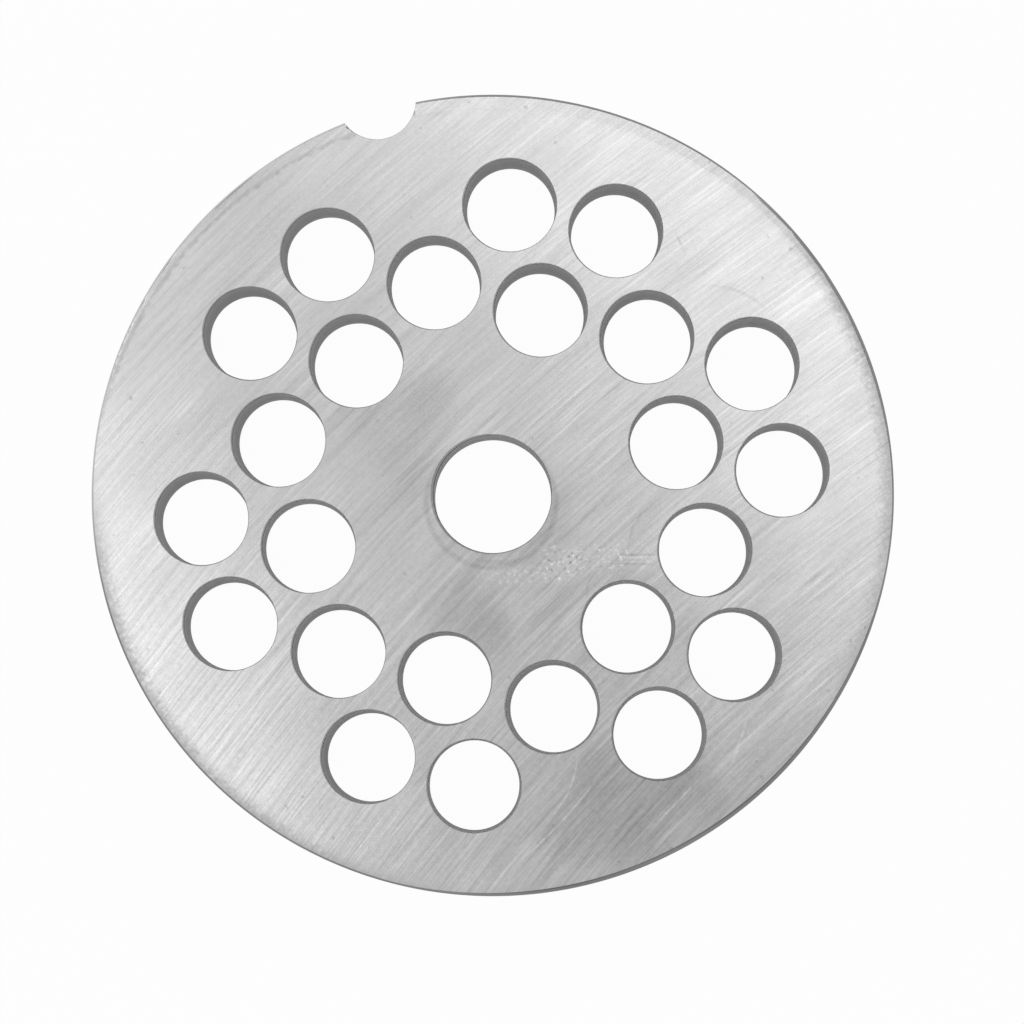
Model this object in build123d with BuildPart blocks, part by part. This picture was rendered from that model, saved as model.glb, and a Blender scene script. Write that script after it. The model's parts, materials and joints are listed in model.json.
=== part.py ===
from build123d import *
from math import ceil, cos, hypot, radians, sin, sqrt, tan
import os

# Meat grinder plate, size No. 22, in millimetres. It lies on its back face with the bore's axis
# along Z, and the notch points along +Y. It is one piece of steel: turned, drilled and ground.

# Blank
plate_diameter = 82.0
plate_thickness = 9.5
rim_break = 0.2  # width of the broken edge round the rim, at both faces
rim_break_depth = 0.4

# Bore, which runs on the spindle of the feed screw
bore_diameter = 12.0
bore_break = 0.3  # worn round the front end only

# Extrusion holes, on a triangular grid that has a line of sites through the bore
hole_diameter = 9.5
hole_web = 1.75  # metal left between neighbouring holes
hole_break = 0.15  # worn round the front end only
hub_land_diameter = 28.0  # undrilled round the bore, where the knife turns
rim_land = 6.0  # undrilled inside the rim, where the ring nut presses
hole_grid_turn = -0.8  # degrees, how far that line of sites stands anticlockwise of the notch

# Half-round notch that keys the plate in the grinder's head
notch_diameter = 8.0
notch_depth = 2.9

# Bevels ground and worn on the front rim: each is widest at its bearing, counted in degrees
# anticlockwise from the notch, and runs out to nothing at its reach on either side. The slope
# is counted down from the front face.
worn_bevels = [
    {"bearing": -21.0, "reach": 85.0, "width": 1.4, "slope": 10.0},
    {"bearing": 196.0, "reach": 60.0, "width": 0.8, "slope": 40.0},
    {"bearing": -77.0, "reach": 35.0, "width": 0.5, "slope": 40.0},
]

plate_radius = plate_diameter / 2
notch_axis_y = plate_radius - notch_depth + notch_diameter / 2


def extrusion_hole_sites():
    """Grid sites between hub land and rim land that also keep a web's width from the notch."""
    pitch = hole_diameter + hole_web
    line_spacing = pitch * sqrt(3) / 2
    nearest = (hub_land_diameter + hole_diameter) / 2
    farthest = plate_radius - rim_land - hole_diameter / 2
    clear_of_notch = (notch_diameter + hole_diameter) / 2 + hole_web
    lines = ceil(plate_radius / line_spacing)
    turn = radians(hole_grid_turn)
    sites = []
    for line in range(-lines, lines + 1):
        for step in range(-lines, lines + 1):
            across = line * line_spacing
            along = (step + line % 2 / 2) * pitch
            x = across * cos(turn) - along * sin(turn)
            y = across * sin(turn) + along * cos(turn)
            on_field = nearest <= hypot(x, y) <= farthest
            if on_field and hypot(x, y - notch_axis_y) >= clear_of_notch:
                sites.append((x, y))
    return sites


def front_edges(part, diameter):
    """Circular edges of one diameter on the front face of the plate."""
    circles = part.edges().filter_by(GeomType.CIRCLE).group_by(Axis.Z)[-1]
    return circles.filter_by(lambda edge: abs(edge.radius - diameter / 2) < 1e-4)


with BuildPart() as grinder_plate:
    # The turned blank, a disc with both rims broken
    with BuildSketch():
        Circle(plate_diameter / 2)
    extrude(amount=plate_thickness)
    chamfer(grinder_plate.edges(), rim_break_depth, rim_break)

    # Each worn bevel is a cone whose axis is set off from the plate's own, away from the bearing
    for bevel in worn_bevels:
        bearing = radians(90 + bevel["bearing"])
        set_off = bevel["width"] / (1 - cos(radians(bevel["reach"])))
        front_radius = plate_radius - bevel["width"] + set_off
        flare = plate_thickness / tan(radians(bevel["slope"]))
        with Locations((-set_off * cos(bearing), -set_off * sin(bearing))):
            Cone(
                bottom_radius=front_radius + flare,
                top_radius=front_radius,
                height=plate_thickness,
                align=(Align.CENTER, Align.CENTER, Align.MIN),
                mode=Mode.INTERSECT,
            )

    # The bore, the extrusion holes and the notch all go straight through
    Hole(bore_diameter / 2)
    with Locations(*extrusion_hole_sites()):
        Hole(hole_diameter / 2)
    with Locations((0, notch_axis_y)):
        Hole(notch_diameter / 2)

    chamfer(front_edges(grinder_plate, bore_diameter), bore_break)
    chamfer(front_edges(grinder_plate, hole_diameter), hole_break)

grinder_plate.part.label = "grinder_plate"

os.makedirs("parts", exist_ok=True)
export_step(grinder_plate.part, "parts/grinder_plate.step")
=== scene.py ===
import json
import math

import bmesh
import bpy
import numpy as np
from mathutils import Matrix, Vector


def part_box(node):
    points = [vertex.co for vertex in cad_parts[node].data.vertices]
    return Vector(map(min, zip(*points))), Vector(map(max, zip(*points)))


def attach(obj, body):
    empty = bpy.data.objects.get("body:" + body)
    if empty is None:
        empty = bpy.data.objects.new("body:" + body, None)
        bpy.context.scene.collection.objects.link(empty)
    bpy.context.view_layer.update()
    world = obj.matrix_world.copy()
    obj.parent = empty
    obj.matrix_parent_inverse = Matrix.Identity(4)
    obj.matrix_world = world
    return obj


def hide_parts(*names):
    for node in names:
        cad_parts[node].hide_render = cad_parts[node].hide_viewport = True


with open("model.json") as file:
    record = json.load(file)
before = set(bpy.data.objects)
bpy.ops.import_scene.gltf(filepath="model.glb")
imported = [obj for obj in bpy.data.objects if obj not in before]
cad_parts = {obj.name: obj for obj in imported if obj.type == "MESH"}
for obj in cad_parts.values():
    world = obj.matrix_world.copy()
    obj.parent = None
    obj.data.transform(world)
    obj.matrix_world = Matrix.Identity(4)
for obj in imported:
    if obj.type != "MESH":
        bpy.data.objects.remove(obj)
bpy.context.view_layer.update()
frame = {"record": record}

# ---------------------------------------------------------------------------
# Grinder plate, the blank: a disc of hardened tool steel, turned to size and ground flat.
# Years of dressing on a stone have broken its front rim into three uneven, tilted bevels.
# ---------------------------------------------------------------------------

MM = 0.001
mounts = {mount["name"]: mount for mount in frame["record"]["mounts"]}
plate_low, plate_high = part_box("grinder_plate")
thickness = plate_high.z
plate_radius = mounts["outer_rim"]["dims"]["r_mm"] * MM
rim_break = 0.2 * MM
rim_break_depth = 0.4 * MM
# Bearing anticlockwise from the notch, half the arc covered and slope, in degrees, and the width
# at the middle of the bevel
worn_bevels = [
    {"bearing": -21.0, "reach": 85.0, "width": 1.4 * MM, "slope": 1.2},
    {"bearing": 196.0, "reach": 60.0, "width": 0.48 * MM, "slope": 40.0},
    {"bearing": -77.0, "reach": 35.0, "width": 0.32 * MM, "slope": 40.0},
]


def add_bevel_circle(bevel):
    """Adds the middle and radius of the circle in which the bevel's cone meets the front face."""
    set_off = bevel["width"] / (1 - math.cos(math.radians(bevel["reach"])))
    bearing = math.radians(90 + bevel["bearing"])
    bevel["middle"] = (-set_off * math.cos(bearing), -set_off * math.sin(bearing))
    bevel["radius"] = plate_radius - bevel["width"] + set_off


def ring(angles, radius, height):
    """One ring of a lathed mesh; its radius and height may vary round it."""
    flat = np.zeros_like(angles)
    return np.stack([radius * np.cos(angles), radius * np.sin(angles), height + flat], 1)


def lathed(name, rings):
    """A closed lathed object from its rings of points, given from bottom to top."""
    count = len(rings[0])
    faces = [list(range(count))[::-1]]
    for level in range(len(rings) - 1):
        low, high = level * count, (level + 1) * count
        for step in range(count):
            after = (step + 1) % count
            faces.append([low + step, low + after, high + after, high + step])
    faces.append([(len(rings) - 1) * count + step for step in range(count)])
    mesh = bpy.data.meshes.new(name)
    mesh.from_pydata(np.concatenate(rings).tolist(), [], faces)
    made = bpy.data.objects.new(name, mesh)
    bpy.context.scene.collection.objects.link(made)
    return made


def front_height(angles, radius):
    """Height of the front of the blank: the lowest of its face, its broken edge and its bevels."""
    broken = (radius - plate_radius + rim_break) * rim_break_depth / rim_break
    height = np.minimum(thickness, thickness - broken)
    for bevel in worn_bevels:
        x = radius * np.cos(angles) - bevel["middle"][0]
        y = radius * np.sin(angles) - bevel["middle"][1]
        fall = (np.hypot(x, y) - bevel["radius"]) * math.tan(math.radians(bevel["slope"]))
        height = np.minimum(height, thickness - fall)
    return height


def face_edge(angles):
    """Radius at which the flat front face ends, found by halving a band inside the rim."""
    band = 3 * MM
    halvings = 40
    flat_within = 1e-6 * MM
    low = np.full_like(angles, plate_radius - band)
    high = np.full_like(angles, plate_radius)
    for _ in range(halvings):
        middle = (low + high) / 2
        flat = front_height(angles, middle) > thickness - flat_within
        low = np.where(flat, middle, low)
        high = np.where(flat, high, middle)
    return low


for worn_bevel in worn_bevels:
    add_bevel_circle(worn_bevel)
rim_steps = 720
wall_rings = 6
bevel_rings = 12
wall_top = thickness - 1.0 * MM
face_shares = (0.05, 0.2, 0.35, 0.5, 0.65, 0.8, 0.92)
rim_angles = np.arange(rim_steps) * 2 * np.pi / rim_steps
edge_radius = face_edge(rim_angles)
blank_rings = []
for share in (*face_shares, 1.0):
    blank_rings.append(ring(rim_angles, share * (plate_radius - rim_break), 0.0))
for level in np.linspace(rim_break_depth, wall_top, wall_rings):
    blank_rings.append(ring(rim_angles, plate_radius, level))
for share in np.linspace(1, 0, bevel_rings):
    radii = edge_radius + (plate_radius - edge_radius) * share
    blank_rings.append(ring(rim_angles, radii, front_height(rim_angles, radii)))
for share in reversed(face_shares):
    blank_rings.append(ring(rim_angles, share * edge_radius, thickness))
plate = lathed("plate_ground_and_drilled", blank_rings)

# Grinder plate, its holes: drilled, bored and milled straight through. The meat and the knife
# have rounded the front ends, most on the side that the blade sweeps from.

hole_radius = 4.75 * MM
hole_web = 1.75 * MM
hole_grid_turn = math.radians(-0.8)
bore_radius = mounts["centre_bore"]["dims"]["r_mm"] * MM
hub_land_radius = 14.0 * MM
rim_land = 6.0 * MM
notch_radius = mounts["rim_notch"]["dims"]["r_mm"] * MM
notch_axis = Vector(mounts["rim_notch"]["pos_m"])
swept_from = math.radians(150)
wear_turn = 0.4  # radians, how far the wear of one hole may stand off that side
cutter_overrun = 1.0 * MM
# No drill keeps quite to its mark. It may go in this far off its place at the front, come out
# this much farther off at the back, and cut narrower there by a share between these two.
drilling_seed = 22
drill_wander = 0.10 * MM
drill_lean = 0.14 * MM
least_taper = 0.025
most_taper = 0.055


def edge_cutter(name, radius, least_wear, most_wear, back_wear, steps):
    """A drill's envelope, flared at both ends to the worn, rounded edges that its hole has."""
    angles = np.arange(steps) * 2 * np.pi / steps
    facing = 0.5 + 0.5 * np.cos(angles - swept_from)
    wear = least_wear + (most_wear - least_wear) * facing ** 2
    rings = [ring(angles, radius + back_wear, -cutter_overrun)]
    for turn in np.radians([80, 45, 0]):
        out = back_wear * (1 - math.cos(turn))
        rings.append(ring(angles, radius + out, back_wear * (1 - math.sin(turn))))
    for turn in np.radians([0, 12, 25, 38, 52, 66, 80]):
        out = wear * (1 - math.cos(turn))
        rings.append(ring(angles, radius + out, thickness - wear * (1 - math.sin(turn))))
    rings.append(ring(angles, radius + wear, thickness + cutter_overrun))
    return lathed(name, rings)


hole_cutter = edge_cutter("hole_cutter", hole_radius, least_wear=0.08 * MM,
                          most_wear=0.26 * MM, back_wear=0.04 * MM, steps=96)
bore_cutter = edge_cutter("bore_cutter", bore_radius, least_wear=0.10 * MM,
                          most_wear=0.45 * MM, back_wear=0.05 * MM, steps=144)
notch_cutter = edge_cutter("notch_cutter", notch_radius, least_wear=0.05 * MM,
                           most_wear=0.10 * MM, back_wear=0.04 * MM, steps=96)
notch_cutter.data.transform(Matrix.Translation((notch_axis.x, notch_axis.y, 0)))


def add_node(tree, kind, settings=None, sockets=None):
    """Adds a node, sets its settings, then gives its input sockets values or links."""
    made = tree.nodes.new(kind)
    for name, value in (settings or {}).items():
        setattr(made, name, value)
    for name, value in (sockets or {}).items():
        for source in value if isinstance(value, list) else [value]:
            if isinstance(source, bpy.types.NodeSocket):
                tree.links.new(source, made.inputs[name])
            else:
                made.inputs[name].default_value = source
    return made


def drilling_tree():
    """Geometry Nodes that set drills on a triangular grid and cut them, bore and notch away."""
    tree = bpy.data.node_groups.new("plate_drilling", "GeometryNodeTree")
    panel = tree.interface
    panel.new_socket("Geometry", in_out="INPUT", socket_type="NodeSocketGeometry")
    for name in ("Hole Pitch", "Grid Turn", "First Ring", "Last Ring", "Thickness",
                 "Drill Wander", "Drill Lean", "Least Taper", "Most Taper", "Wear Turn"):
        panel.new_socket(name, in_out="INPUT", socket_type="NodeSocketFloat")
    for name in ("Hole Cutter", "Bore Cutter", "Notch Cutter"):
        panel.new_socket(name, in_out="INPUT", socket_type="NodeSocketObject")
    panel.new_socket("Seed", in_out="INPUT", socket_type="NodeSocketInt")
    panel.new_socket("Finish", in_out="INPUT", socket_type="NodeSocketMaterial")
    panel.new_socket("Geometry", in_out="OUTPUT", socket_type="NodeSocketGeometry")

    def add(kind, settings=None, sockets=None, output=0):
        return add_node(tree, kind, settings, sockets).outputs[output]

    def maths(operation, first, second=0.0):
        return add("ShaderNodeMath", {"operation": operation}, {0: first, 1: second})

    def vectors(operation, first, second):
        return add("ShaderNodeVectorMath", {"operation": operation}, {0: first, 1: second})

    def scaled(vector, factor):
        return add("ShaderNodeVectorMath", {"operation": "SCALE"}, {0: vector, "Scale": factor})

    def shape_of(name):
        return add("GeometryNodeObjectInfo", None, {"Object": given[name]}, "Geometry")

    def seed_after(steps):
        return maths("ADD", given["Seed"], steps)

    def any_way(seed):
        return add("FunctionNodeRandomValue", {"data_type": "FLOAT_VECTOR"},
                   {0: (-1.0, -1.0, 0.0), 1: (1.0, 1.0, 0.0), "Seed": seed})

    def any_between(least, most, seed):
        return add("FunctionNodeRandomValue", {"data_type": "FLOAT"},
                   {2: least, 3: most, "Seed": seed}, 1)

    def attribute(name, kind):
        return add("GeometryNodeInputNamedAttribute", {"data_type": kind}, {"Name": name})

    given = tree.nodes.new("NodeGroupInput").outputs
    pitch = given["Hole Pitch"]
    position = add("GeometryNodeInputPosition")

    # A triangular grid of sites is a plain one whose every other line is moved half a step. Only
    # the sites between the hub land and the rim land are drilled.
    line_spacing = maths("MULTIPLY", pitch, math.sqrt(3) / 2)
    sites_across = 13
    grid = add("GeometryNodeMeshGrid", None, {
        "Size X": maths("MULTIPLY", line_spacing, sites_across - 1.0),
        "Size Y": maths("MULTIPLY", pitch, sites_across - 1.0),
        "Vertices X": sites_across,
        "Vertices Y": sites_across,
    })
    over = add("ShaderNodeSeparateXYZ", None, {0: position})
    line_number = maths("ROUND", maths("ABSOLUTE", maths("DIVIDE", over, line_spacing)))
    half_step = maths("MULTIPLY", maths("MODULO", line_number, 2.0), maths("MULTIPLY", pitch, 0.5))
    staggered = add("GeometryNodeSetPosition", None, {
        "Geometry": grid,
        "Offset": add("ShaderNodeCombineXYZ", None, {"Y": half_step}),
    })
    turned_grid = add("GeometryNodeTransform", None, {
        "Geometry": staggered,
        "Rotation": add("ShaderNodeCombineXYZ", None, {"Z": given["Grid Turn"]}),
    })
    distance = add("ShaderNodeVectorMath", {"operation": "LENGTH"}, {0: position}, "Value")
    off_field = maths("MAXIMUM", maths("LESS_THAN", distance, given["First Ring"]),
                      maths("GREATER_THAN", distance, given["Last Ring"]))
    sites = add("GeometryNodeDeleteGeometry", {"domain": "POINT"},
                {"Geometry": turned_grid, "Selection": off_field})

    # Each site is given its drill's errors at random
    front_shift = scaled(any_way(seed_after(1.0)), given["Drill Wander"])
    lean = scaled(any_way(seed_after(2.0)), given["Drill Lean"])
    back_shift = vectors("ADD", front_shift, lean)
    taper = any_between(given["Least Taper"], given["Most Taper"], seed_after(3.0))
    for name, kind, value in (("front_shift", "FLOAT_VECTOR", front_shift),
                              ("back_shift", "FLOAT_VECTOR", back_shift),
                              ("taper", "FLOAT", taper),
                              ("site", "FLOAT_VECTOR", position)):
        sites = add("GeometryNodeStoreNamedAttribute", {"data_type": kind, "domain": "POINT"},
                    {"Geometry": sites, "Name": name, "Value": value})

    # The drills stand on the sites, and are then shifted and tapered from front to back
    most_turn = given["Wear Turn"]
    turn = any_between(maths("MULTIPLY", most_turn, -1.0), most_turn, given["Seed"])
    drills = add("GeometryNodeInstanceOnPoints", None, {
        "Points": sites,
        "Instance": shape_of("Hole Cutter"),
        "Rotation": add("ShaderNodeCombineXYZ", None, {"Z": turn}),
    })
    drills = add("GeometryNodeRealizeInstances", None, {"Geometry": drills})
    height = add("ShaderNodeSeparateXYZ", None, {0: position}, 2)
    frontness = maths("DIVIDE", height, given["Thickness"])
    frontness = maths("MINIMUM", maths("MAXIMUM", frontness, 0.0), 1.0)
    backness = maths("SUBTRACT", 1.0, frontness)
    shift = vectors("ADD", scaled(attribute("front_shift", "FLOAT_VECTOR"), frontness),
                    scaled(attribute("back_shift", "FLOAT_VECTOR"), backness))
    outward = vectors("SUBTRACT", position, attribute("site", "FLOAT_VECTOR"))
    outward = vectors("MULTIPLY", outward, (1.0, 1.0, 0.0))
    narrowing = maths("MULTIPLY", maths("MULTIPLY", attribute("taper", "FLOAT"), backness), -1.0)
    drills = add("GeometryNodeSetPosition", None, {
        "Geometry": drills,
        "Offset": vectors("ADD", shift, scaled(outward, narrowing)),
    })
    for name in ("front_shift", "back_shift", "taper", "site"):
        drills = add("GeometryNodeRemoveAttribute", None, {"Geometry": drills, "Name": name})

    cut = add("GeometryNodeMeshBoolean", {"operation": "DIFFERENCE", "solver": "MANIFOLD"}, {
        "Mesh 1": given["Geometry"],
        "Mesh 2": [drills, shape_of("Bore Cutter"), shape_of("Notch Cutter")],
    })
    whole = add("GeometryNodeRealizeInstances", None, {"Geometry": cut})
    finished = add("GeometryNodeSetMaterial", None, {"Geometry": whole, "Material": given["Finish"]})
    add_node(tree, "NodeGroupOutput", None, {"Geometry": finished})
    return tree


def bake_nodes(piece, tree, values):
    """Runs a Geometry Nodes tree on a piece with the given inputs and keeps the plain mesh."""
    modifier = piece.modifiers.new("nodes", "NODES")
    modifier.node_group = tree
    for item in tree.interface.items_tree:
        if item.item_type == "SOCKET" and item.in_out == "INPUT" and item.name in values:
            modifier[item.identifier] = values[item.name]
    bpy.context.view_layer.update()
    evaluated = piece.evaluated_get(bpy.context.evaluated_depsgraph_get())
    baked = bpy.data.meshes.new_from_object(evaluated)
    piece.modifiers.remove(modifier)
    baked.materials.clear()
    baked.materials.append(values["Finish"])
    piece.data = baked


def shade_worn_edges(piece):
    """Smooth shading, with the borders of the flat ground faces and true corners kept sharp."""
    weld_within = 0.0001 * MM
    flat_above = 0.9999
    corner = math.radians(35)
    shape = bmesh.new()
    shape.from_mesh(piece.data)
    bmesh.ops.remove_doubles(shape, verts=shape.verts, dist=weld_within)
    for face in shape.faces:
        face.smooth = True
    for edge in shape.edges:
        flat = [abs(face.normal.z) > flat_above for face in edge.link_faces]
        bend = edge.calc_face_angle(math.pi)
        edge.smooth = all(flat) or (not any(flat) and bend < corner)
    shape.to_mesh(piece.data)
    shape.free()


# Grinder plate, its finish: bare steel, ground on a large wheel that leaves long arcs, then
# scratched, pitted and soiled in use. The drilled walls are duller and darker, and are painted
# darker still towards the back as painted shade. A painted dark reflection lies across the face, and
# painted shade and a painted highlight lie on the rim. Its places and lengths are in mm, bearings
# in degrees anticlockwise from the notch, and tones from 0 to 1.


class Shade:
    """A value in a material's node tree, which Python's operators can reckon with."""

    def __init__(self, socket):
        self.socket = socket

    def node(self, kind, settings=None, sockets=None, output=0):
        plain = {}
        for name, value in (sockets or {}).items():
            plain[name] = value.socket if isinstance(value, Shade) else value
        return Shade(add_node(self.socket.id_data, kind, settings, plain).outputs[output])

    def maths(self, operation, *values):
        return self.node("ShaderNodeMath", {"operation": operation}, dict(enumerate(values)))

    def __add__(self, other):
        return self.maths("ADD", self, other)

    def __radd__(self, other):
        return self.maths("ADD", other, self)

    def __sub__(self, other):
        return self.maths("SUBTRACT", self, other)

    def __rsub__(self, other):
        return self.maths("SUBTRACT", other, self)

    def __mul__(self, other):
        return self.maths("MULTIPLY", self, other)

    def __rmul__(self, other):
        return self.maths("MULTIPLY", other, self)

    def __truediv__(self, other):
        return self.maths("DIVIDE", self, other)

    def __rtruediv__(self, other):
        return self.maths("DIVIDE", other, self)

    def __pow__(self, other):
        return self.maths("POWER", self, other)

    def __rpow__(self, other):
        return self.maths("POWER", other, self)

    def __neg__(self):
        return self.maths("MULTIPLY", self, -1.0)

    def __abs__(self):
        return self.maths("ABSOLUTE", self)

    def most(self, other):
        return self.maths("MAXIMUM", self, other)

    def times_plus(self, factor, other):
        return self.maths("MULTIPLY_ADD", self, factor, other)

    def rise(self, start, end):
        """0 at start, 1 at end and beyond, smooth between them; start may be the greater."""
        return self.node("ShaderNodeMapRange", {"interpolation_type": "SMOOTHSTEP"},
                         {"Value": self, "From Min": start, "From Max": end})

    def noise(self, other, seed, detail=0.0):
        """Noise over two coordinates, about -1 to 1."""
        place = self.node("ShaderNodeCombineXYZ", None, {"X": self + seed, "Y": other - seed, "Z": 0.0})
        raw = self.node("ShaderNodeTexNoise", {"noise_dimensions": "2D"},
                        {"Vector": place, "Scale": 1.0, "Detail": detail})
        return (raw - 0.5) * 4.0


steel = bpy.data.materials.new("ground_steel_worn")
steel.use_nodes = True
steel.node_tree.nodes.clear()
steel_tree = steel.node_tree
steel_end = add_node(steel_tree, "ShaderNodeOutputMaterial")
metal = add_node(steel_tree, "ShaderNodeBsdfPrincipled", None, {"Specular IOR Level": 0.25})
steel_tree.links.new(metal.outputs[0], steel_end.inputs[0])
coordinates = add_node(steel_tree, "ShaderNodeTexCoord")
in_metres = Shade(coordinates.outputs["Object"])
in_mm = in_metres.node("ShaderNodeVectorMath", {"operation": "SCALE"},
                       {0: in_metres, "Scale": 1000.0})
axes = add_node(steel_tree, "ShaderNodeSeparateXYZ", None, {0: in_mm.socket})
x, y, z = (Shade(output) for output in axes.outputs)
normal_axes = add_node(steel_tree, "ShaderNodeSeparateXYZ", None, {0: coordinates.outputs["Normal"]})
facing_up = abs(Shade(normal_axes.outputs[2]))
from_axis = (x * x + y * y) ** 0.5
bearing = (-x).maths("ARCTAN2", -x, y) * (180 / math.pi)
on_rim = from_axis.rise(38.3, 38.8)

# The ground finish covers what faces up or down, and stops sooner on the rim than in the holes
ground = facing_up.rise(0.02, 0.60)
ground = ground + (facing_up.rise(0.80, 0.99) - ground) * on_rim

# Grinding marks run in arcs about the wheel's spindle, which stood well outside the plate. Each
# kind is so many marks to the millimetre across the arcs, and fewer along them.
spindle_x, spindle_y, spindle_reach = 111.1, -212.8, 240.0
reach_x = x - spindle_x
reach_y = y - spindle_y
across = (reach_x * reach_x + reach_y * reach_y) ** 0.5 - spindle_reach
along = reach_x.maths("ARCTAN2", reach_x, reach_y) * spindle_reach
grain = (across * 4.2).noise(along * 0.26, seed=3.7)
streaks = (across * 1.8).noise(along * 0.10, seed=11.3, detail=1.0)
bands = (across * 0.42).noise(along * 0.03, seed=17.6)
bright_lines = (across * 3.2).noise(along * 0.08, seed=41.2).rise(0.50, 1.0)
dark_lines = (across * 2.7).noise(along * 0.09, seed=47.8).rise(-0.55, -1.05)

# Soft clouds and two sizes of speck, which run no particular way
clouds = (x * 0.12).noise(y * 0.12, seed=23.2)
speckle = (x * 1.7).noise(y * 1.7, seed=31.4, detail=1.0)
specks = (x * 2.4).noise(y * 2.4, seed=53.9, detail=1.0)

# The wheel bit deepest towards +X, and unevenly
deep_side = (x - y * 0.3).rise(-25.0, 20.0)
strength = 0.55 + 0.25 * clouds + 0.40 * deep_side
marks = (grain * 0.024 + streaks * 0.028 + bands * 0.016) * strength
marks = marks + speckle * 0.014 + (bright_lines * 0.050 - dark_lines * 0.040) * strength

# Use has roughened it in fine specks, most of them towards -Y and along one side of the rim
dirt_bearing = 108.0
low_down = (y + x * 0.3).rise(12.0, -30.0)
near_rim = from_axis.rise(33.0, 40.0)
dirty_side = abs(bearing - dirt_bearing).rise(50.0, 22.0)
roughened = 0.009 + low_down * 0.009 + near_rim * dirty_side * 0.011
marks = marks + specks * roughened + speckle * low_down * 0.006

# Single scratches, each with its middle, half its length and breadth, its direction in degrees,
# how far its middle bows to the left of it, and how much lighter or darker than the face it is
scratches = [
    (-2.5, -33.9, 6.1, 0.16, -149, 0.44, 0.20),
    (-1.2, -31.3, 4.1, 0.14, -132, 0.90, 0.16),
    (9.0, -35.5, 4.4, 0.14, -151, 0.07, 0.15),
    (17.1, -31.3, 3.0, 0.18, -125, 0.18, 0.12),
    (13.3, -6.8, 2.9, 0.22, -140, -1.03, -0.11),
    (6.8, -11.5, 1.8, 0.16, -128, -0.55, -0.10),
    (7.4, -28.3, 5.4, 0.15, -138, 0.82, 0.08),
    (0.4, -24.1, 3.6, 0.15, -109, 0.44, 0.08),
    (25.7, 19.2, 1.4, 0.16, -81, 0.11, -0.11),
    (29.9, 12.9, 3.8, 0.24, -37, 0.86, -0.08),
    (12.5, -10.1, 2.3, 0.12, -16, 0.05, -0.14),
    (12.6, -10.45, 2.2, 0.10, -16, 0.00, 0.13),
    (12.0, -10.95, 2.6, 0.12, -18, 0.10, -0.13),
    (-1.2, -6.9, 3.3, 0.30, -15, -0.66, -0.08),
    (-14.0, -8.7, 2.3, 0.14, 29, 0.00, -0.10),
]


def oval(along_x, along_y, middle_x, middle_y, half_length, half_breadth, direction=0.0, bow=0.0):
    """Squared distance from an oval's middle, counted in its own half sizes: 1 on its outline."""
    cosine = math.cos(math.radians(direction))
    sine = math.sin(math.radians(direction))
    from_middle = -(middle_x * cosine + middle_y * sine) / half_length
    lengthwise = along_x.times_plus(cosine / half_length, from_middle)
    lengthwise = along_y.times_plus(sine / half_length, lengthwise)
    squared = lengthwise * lengthwise
    from_middle = (middle_x * sine - middle_y * cosine) / half_breadth
    sideways = along_x.times_plus(-sine / half_breadth, from_middle)
    sideways = along_y.times_plus(cosine / half_breadth, sideways)
    if bow:
        sideways = squared.times_plus(bow / half_breadth, sideways)
    return sideways.times_plus(sideways, squared)


scores = 0
for *shape, bow, change in scratches:
    scores = oval(x, y, *shape, bow).rise(1.3, 0.0) * change + scores

# A patch beside the bore is scuffed in light and dark specks. Three ovals make it up, each with
# its middle, half its length and breadth, and its strength.
scuff_direction = -16.4
scuffed = 0
for middle_x, middle_y, half_length, half_breadth, most in (
        (4.7, -8.7, 2.8, 2.4, 1.15),
        (9.8, -9.5, 5.6, 2.1, 0.5),
        (0.4, -8.8, 3.8, 1.2, 0.5)):
    patch = oval(x, y, middle_x, middle_y, half_length, half_breadth, scuff_direction)
    scuffed = (patch + speckle * 0.25).rise(1.2, 0.0) * most + scuffed
scuffs = specks.rise(0.30, 1.0) * 0.42 - specks.rise(-0.4, -1.0) * 0.20 - 0.02
scores = scores * (0.7 + 0.4 * speckle) + scuffed * scuffs * (0.35 + 1.2 * speckle).most(0.15)

# The knife's hub has worn a dark ring with pale borders round the bore, a little off its middle
hub_x, hub_y, hub_reach = -0.4, -0.8, 6.63
worn_x = x - hub_x
worn_y = y - hub_y
worn_ring = (worn_x * worn_x + worn_y * worn_y) ** 0.5 - hub_reach
worn_ring = abs(worn_ring + speckle * 0.05)
rubbed = worn_ring.rise(0.50, 0.0) * -0.10 * (0.8 + 0.4 * speckle)
rubbed = rubbed + worn_ring.rise(1.2, 0.4) * 0.012

# Pits where rust has bitten, few over the face and many near the rim
pit_scale = 0.55
pit_x = x * pit_scale + specks * 0.05
pit_y = y * pit_scale + speckle * 0.05
pit_place = x.node("ShaderNodeCombineXYZ", None, {"X": pit_x, "Y": pit_y, "Z": 0.0})
pit_cells = {"Vector": pit_place, "Scale": 1.0, "Randomness": 1.0}
pit_distance = x.node("ShaderNodeTexVoronoi", {"voronoi_dimensions": "2D"}, pit_cells, 0)
pit_dice = x.node("ShaderNodeSeparateColor", None, {0: pit_distance.socket.node.outputs[1]})
pit_size = (pit_dice - 0.90 + near_rim * 0.08).most(0.0) * 0.60
pits = (pit_distance - pit_size).rise(0.05, -0.05)

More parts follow.
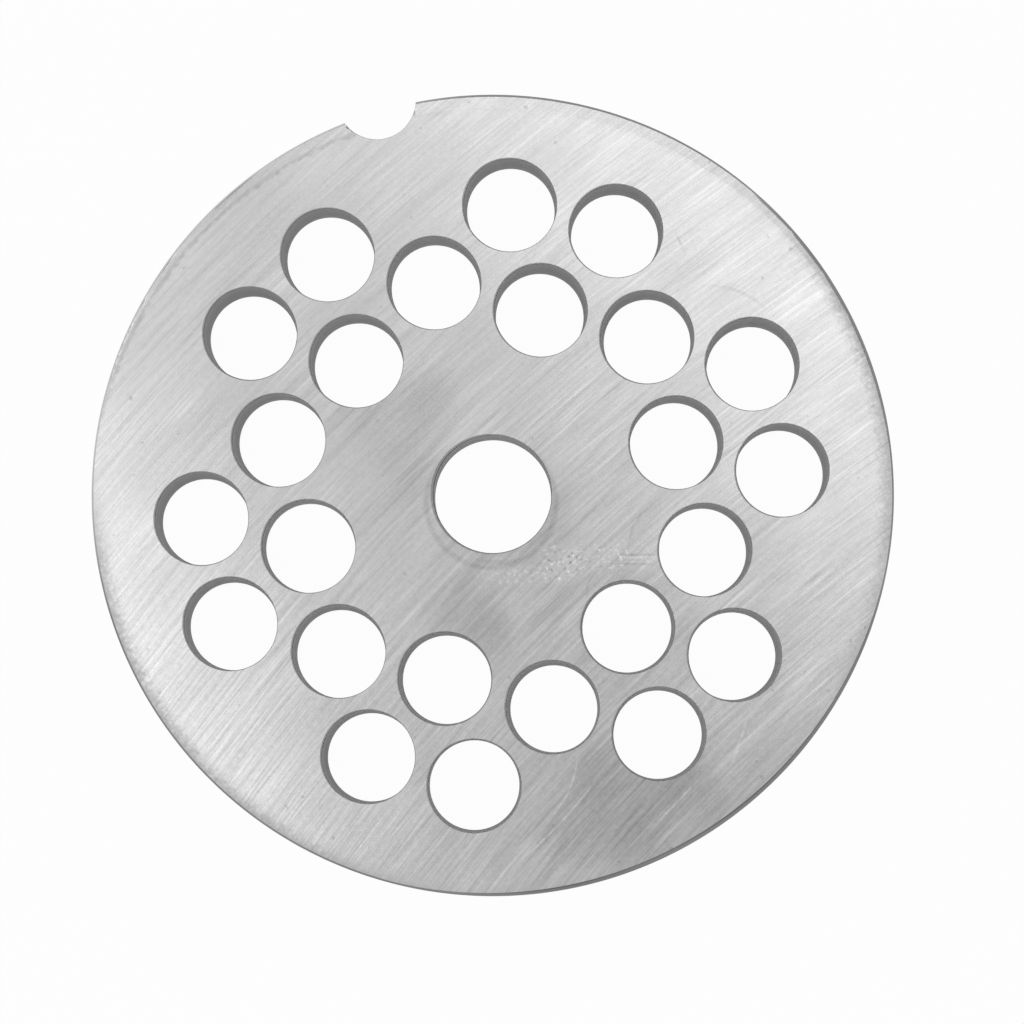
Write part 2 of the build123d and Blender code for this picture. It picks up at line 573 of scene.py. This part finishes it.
# Soft patches in a band from +Y across the middle to -Y are painted darker: a painted dark
# reflection. Each has its middle, its reach and how much darker it is
clean_tone = 0.575
uneven_x = x + clouds * 2.0
painted_dark_reflection = 0
for middle_x, middle_y, patch_reach, change in (
        (4.3, -33.3, 9.0, 0.110),
        (5.6, -12.6, 8.0, 0.040),
        (-7.2, 8.9, 8.0, 0.065),
        (-0.5, -2.0, 9.5, 0.070),
        (-5.8, -11.6, 5.5, 0.090)):
    patch = oval(uneven_x, y, middle_x, middle_y, patch_reach, patch_reach)
    painted_dark_reflection = patch.rise(1.0, 0.0) * change + painted_dark_reflection
# The ground tone loses the painted dark reflection of those patches
ground_tone = clean_tone + marks + clouds * 0.018 + scores + rubbed - pits * 0.13 - painted_dark_reflection

# The front rim: dull on the side away from the notch, dirty on one side, with a painted shade
# line where the wide bevel begins, and the wide bevel itself painted a little darker as painted shade
clear_bearing = 4.0
ragged = (bearing * 0.9).noise(from_axis * 1.2, seed=61.7, detail=1.0)
dull_side = abs(bearing - clear_bearing).rise(62.0, 84.0)
soiled = (from_axis + specks * 0.40 + ragged * 0.15).rise(39.0, 41.1)
dirt = soiled * (0.20 * dull_side + 0.14 * dirty_side)
wide_bevel = worn_bevels[0]
bevel_x = x - wide_bevel["middle"][0] / MM
bevel_y = y - wide_bevel["middle"][1] / MM
past_bevel = (bevel_x * bevel_x + bevel_y * bevel_y) ** 0.5 - wide_bevel["radius"] / MM
bevel_ends = abs(bearing - wide_bevel["bearing"]).rise(92.0, 76.0)
# Painted shade: a dark line along the crease where the wide bevel begins
painted_bevel_crease_shade = abs(past_bevel + ragged * 0.12 + 0.16).rise(0.38, 0.05)
painted_bevel_crease_shade = painted_bevel_crease_shade * (bearing.rise(-12.0, 12.0) * 0.85 + 0.15) * bevel_ends
crease_shade_depth = 0.16 + ragged * 0.08
# Painted shade: the wide bevel is painted a little darker than the face
painted_bevel_shade = past_bevel.rise(-0.2, 0.2) * 0.09
ground_tone = ground_tone * (1 - dirt) * (1 - painted_bevel_shade) * (1 - painted_bevel_crease_shade * crease_shade_depth)

# Drilled walls are dull, and painted darker towards the back as painted shade deep in each hole.
# The tool has left fine rings on them and on the rim. The rim is painted bright on one side as a
# painted highlight, and painted darker on its steep broken bevels as painted shade.
up_wall = z / (thickness / MM)
turning = (z * 1.6 + x * 0.08).noise(y * 0.08, seed=79.3, detail=1.0)
# Painted shade: the walls grow darker towards the back of each hole
wall_tone = 0.18 + 0.24 * up_wall.rise(0.1, 1.0) - 0.10 * up_wall.rise(0.30, 0.0)
wall_tone = wall_tone + turning * 0.02
# A painted highlight on the side of the rim that faces the light, and painted shade on its steep bevels
painted_highlight_bearing = 38.0
painted_highlight_side = abs(bearing - painted_highlight_bearing).rise(55.0, 30.0)
painted_broken_edge_shade = (from_axis + turning * 0.04).rise(40.78, 40.56)
rim_tone = 0.36 + turning * 0.035 + painted_highlight_side * 0.45 - 0.14 * painted_broken_edge_shade
wall_tone = wall_tone + (rim_tone - wall_tone) * on_rim
tone = wall_tone + (ground_tone - wall_tone) * ground

steel_tree.links.new(tone.socket, metal.inputs["Base Color"])
roughness = 0.55 - 0.33 * ground + streaks * 0.01 + scuffed * ground * 0.05 + dirt * 0.4
steel_tree.links.new(roughness.socket, metal.inputs["Roughness"])
metallic = 0.2 + 0.8 * ground
steel_tree.links.new(metallic.socket, metal.inputs["Metallic"])
height = (grain * 0.4 + streaks) * ground
mark_depth = 0.0014 * MM
bump = add_node(steel_tree, "ShaderNodeBump", None,
                {"Height": height.socket, "Distance": mark_depth})
steel_tree.links.new(bump.outputs[0], metal.inputs["Normal"])

bake_nodes(plate, drilling_tree(), {
    "Hole Pitch": 2 * hole_radius + hole_web,
    "Grid Turn": hole_grid_turn,
    "First Ring": hub_land_radius + hole_radius,
    "Last Ring": plate_radius - rim_land - hole_radius,
    "Thickness": thickness,
    "Drill Wander": drill_wander,
    "Drill Lean": drill_lean,
    "Least Taper": least_taper,
    "Most Taper": most_taper,
    "Wear Turn": wear_turn,
    "Hole Cutter": hole_cutter,
    "Bore Cutter": bore_cutter,
    "Notch Cutter": notch_cutter,
    "Seed": drilling_seed,
    "Finish": steel,
})
shade_worn_edges(plate)
for aid in (hole_cutter, bore_cutter, notch_cutter):
    bpy.data.objects.remove(aid)
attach(plate, "root")
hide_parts("grinder_plate")

# ---------------------------------------------------------------------------
# Floor: a plain white sheet under the plate, pale enough to vanish, which keeps a faint shadow.
# Its brightness comes from its own colour, so the lamps can stay at a plain level.
# ---------------------------------------------------------------------------

floor_half = 3.0
under_plate = 0.02 * MM
floor_height = plate_low.z - under_plate
floor_corners = [(-1, -1), (1, -1), (1, 1), (-1, 1)]
floor_mesh = bpy.data.meshes.new("floor")
floor_mesh.from_pydata([(floor_half * a, floor_half * b, floor_height) for a, b in floor_corners],
                       [], [(0, 1, 2, 3)])
floor = bpy.data.objects.new("floor", floor_mesh)
bpy.context.scene.collection.objects.link(floor)
paper = bpy.data.materials.new("white_sheet")
paper.use_nodes = True
paper_tree = paper.node_tree
paper_tree.nodes.clear()
own_white = 0.97
pale = (0.9, 0.9, 0.9, 1)
white = (1, 1, 1, 1)
shaded = add_node(paper_tree, "ShaderNodeBsdfDiffuse", None, {"Color": pale})
glowing = add_node(paper_tree, "ShaderNodeEmission", None, {"Color": white, "Strength": 1.0})
rays = add_node(paper_tree, "ShaderNodeLightPath")
seen = add_node(paper_tree, "ShaderNodeMath", {"operation": "MAXIMUM"},
                {0: rays.outputs["Is Camera Ray"], 1: rays.outputs["Is Glossy Ray"]})
share = add_node(paper_tree, "ShaderNodeMath", {"operation": "MULTIPLY"},
                 {0: seen.outputs[0], 1: own_white})
both = add_node(paper_tree, "ShaderNodeMixShader", None,
                {0: share.outputs[0], 1: shaded.outputs[0], 2: glowing.outputs[0]})
add_node(paper_tree, "ShaderNodeOutputMaterial", None, {0: both.outputs[0]})
floor_mesh.materials.append(paper)

# ---------------------------------------------------------------------------
# Light and camera: a pale grey room and two long soft boxes on either side of a long lens, which
# looks almost straight down on the plate with its notch turned to the left of the top.
# ---------------------------------------------------------------------------

room = bpy.data.worlds.new("pale_room")
bpy.context.scene.world = room
room.use_nodes = True
room_light = room.node_tree.nodes["Background"].inputs
room_light["Color"].default_value = white
room_light["Strength"].default_value = 0.5

roll = math.radians(16.42)
screen_right = Vector((math.cos(roll), -math.sin(roll), 0))
screen_up = Vector((math.sin(roll), math.cos(roll), 0))
plate_middle = Vector((0, 0, thickness))


def soft_box(name, right_of, above, height, width, length, turn, radiance):
    """A soft box facing down, set to the right of and above the plate as the camera sees it."""
    data = bpy.data.lights.new(name, "AREA")
    data.shape = "RECTANGLE"
    data.size = width
    data.size_y = length
    data.energy = radiance * math.pi * width * length
    lamp = bpy.data.objects.new(name, data)
    place = plate_middle + right_of * screen_right + above * screen_up
    lamp.location = place + Vector((0, 0, height))
    lamp.rotation_euler = (0, 0, math.radians(turn) - roll)
    lamp.visible_camera = False
    bpy.context.scene.collection.objects.link(lamp)


soft_box("soft_box_left", right_of=-0.170, above=0.005, height=0.70,
         width=0.115, length=0.30, turn=25, radiance=3.3)
soft_box("soft_box_right", right_of=0.040, above=0.112, height=0.70,
         width=0.070, length=0.44, turn=45, radiance=1.9)

camera_place = Vector((-4.786, -27.331, 659.5)) * MM
camera_target = Vector((1.374, -2.291, 9.5)) * MM
camera_data = bpy.data.cameras.new("camera")
camera_data.sensor_width = 36.0
camera_data.lens = 223.9
camera_data.clip_start = 0.01
camera = bpy.data.objects.new("camera", camera_data)
back = (camera_place - camera_target).normalized()
right = screen_up.cross(back).normalized()
up = back.cross(right)
turned = Matrix((right, up, back)).transposed().to_4x4()
camera.matrix_world = Matrix.Translation(camera_place) @ turned
bpy.context.scene.collection.objects.link(camera)
bpy.context.scene.camera = camera
bpy.context.scene.view_settings.view_transform = "Standard"


def plain(bounds):
    """The two corners of a box as lists of numbers."""
    return [[float(value) for value in corner] for corner in bounds]
